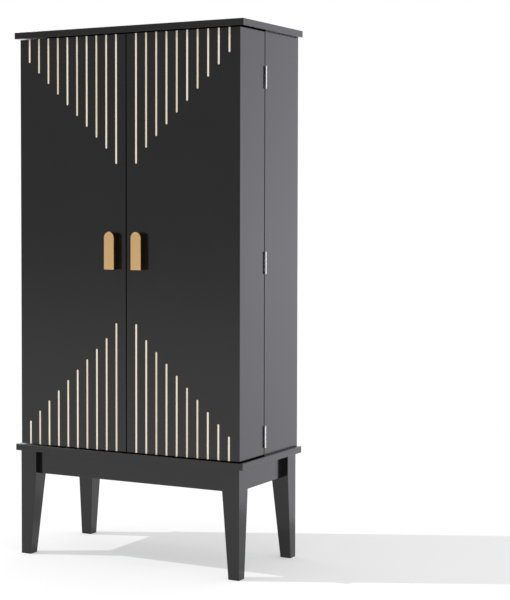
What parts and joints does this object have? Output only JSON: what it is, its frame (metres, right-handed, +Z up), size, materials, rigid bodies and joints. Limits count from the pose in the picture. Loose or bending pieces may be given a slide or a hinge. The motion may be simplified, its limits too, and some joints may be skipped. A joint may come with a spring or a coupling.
{
  "type": "bar cabinet",
  "caption": "Tall black lacquered bar cabinet on tapered legs, with deep box doors that swing on side butt hinges, pale striped fronts and brass block handles.",
  "frame": {"origin": "on the floor, under the middle of the cabinet's box, handles included", "axes": "+Z up, -Y towards the door fronts, +X to the right as seen from the front"},
  "size_m": [0.8, 0.414, 1.6303],
  "materials": {
    "black_lacquer": "semi-gloss black lacquer on board",
    "satin_brass": "satin",
    "bright_steel": "bright plated",
    "black_plastic": "moulded, matt",
    "pale_inlay": "pale satin wood strip"
  },
  "bodies": {
    "cabinet": {"top_board": "black_lacquer", "base_board": "black_lacquer", "front_left_leg": "black_lacquer", "front_right_leg": "black_lacquer", "rear_left_leg": "black_lacquer", "rear_right_leg": "black_lacquer", "front_apron": "black_lacquer", "rear_apron": "black_lacquer", "left_apron": "black_lacquer", "right_apron": "black_lacquer", "left_side_panel": "black_lacquer", "right_side_panel": "black_lacquer", "back_panel": "black_lacquer", "lower_shelf": "black_lacquer", "middle_shelf": "black_lacquer", "upper_shelf": "black_lacquer", "left_lower_hinge_body_leaf": "bright_steel", "left_lower_hinge_pin": "bright_steel", "left_middle_hinge_body_leaf": "bright_steel", "left_middle_hinge_pin": "bright_steel", "left_upper_hinge_body_leaf": "bright_steel", "left_upper_hinge_pin": "bright_steel", "right_lower_hinge_body_leaf": "bright_steel", "right_lower_hinge_pin": "bright_steel", "right_middle_hinge_body_leaf": "bright_steel", "right_middle_hinge_pin": "bright_steel", "right_upper_hinge_body_leaf": "bright_steel", "right_upper_hinge_pin": "bright_steel", "left_catch_magnet": "black_plastic", "right_catch_magnet": "black_plastic"},
    "left_door": {"left_door_front": "black_lacquer", "left_door_hinge_side": "black_lacquer", "left_door_meeting_side": "black_lacquer", "left_door_top": "black_lacquer", "left_door_bottom": "black_lacquer", "left_door_lower_shelf": "black_lacquer", "left_door_upper_shelf": "black_lacquer", "left_door_bottom_rail": "satin_brass", "left_door_lower_rail": "satin_brass", "left_door_upper_rail": "satin_brass", "left_handle": "satin_brass", "left_catch_strike": "bright_steel", "left_lower_hinge_door_leaf": "bright_steel", "left_middle_hinge_door_leaf": "bright_steel", "left_upper_hinge_door_leaf": "bright_steel"},
    "right_door": {"right_door_front": "black_lacquer", "right_door_hinge_side": "black_lacquer", "right_door_meeting_side": "black_lacquer", "right_door_top": "black_lacquer", "right_door_bottom": "black_lacquer", "right_door_lower_shelf": "black_lacquer", "right_door_upper_shelf": "black_lacquer", "right_door_bottom_rail": "satin_brass", "right_door_lower_rail": "satin_brass", "right_door_upper_rail": "satin_brass", "right_handle": "satin_brass", "right_catch_strike": "bright_steel", "right_lower_hinge_door_leaf": "bright_steel", "right_middle_hinge_door_leaf": "bright_steel", "right_upper_hinge_door_leaf": "bright_steel"}
  },
  "joints": [
    {"name": "left_door_swing", "type": "hinge", "parent": "cabinet", "child": "left_door", "pos_m": [-0.3882, -0.02325, 0.9778], "axis": [0, 0, -1], "range_deg": [0, 180]},
    {"name": "right_door_swing", "type": "hinge", "parent": "cabinet", "child": "right_door", "pos_m": [0.3882, -0.02325, 0.9778], "axis": [0, 0, 1], "range_deg": [0, 180]}
  ]
}
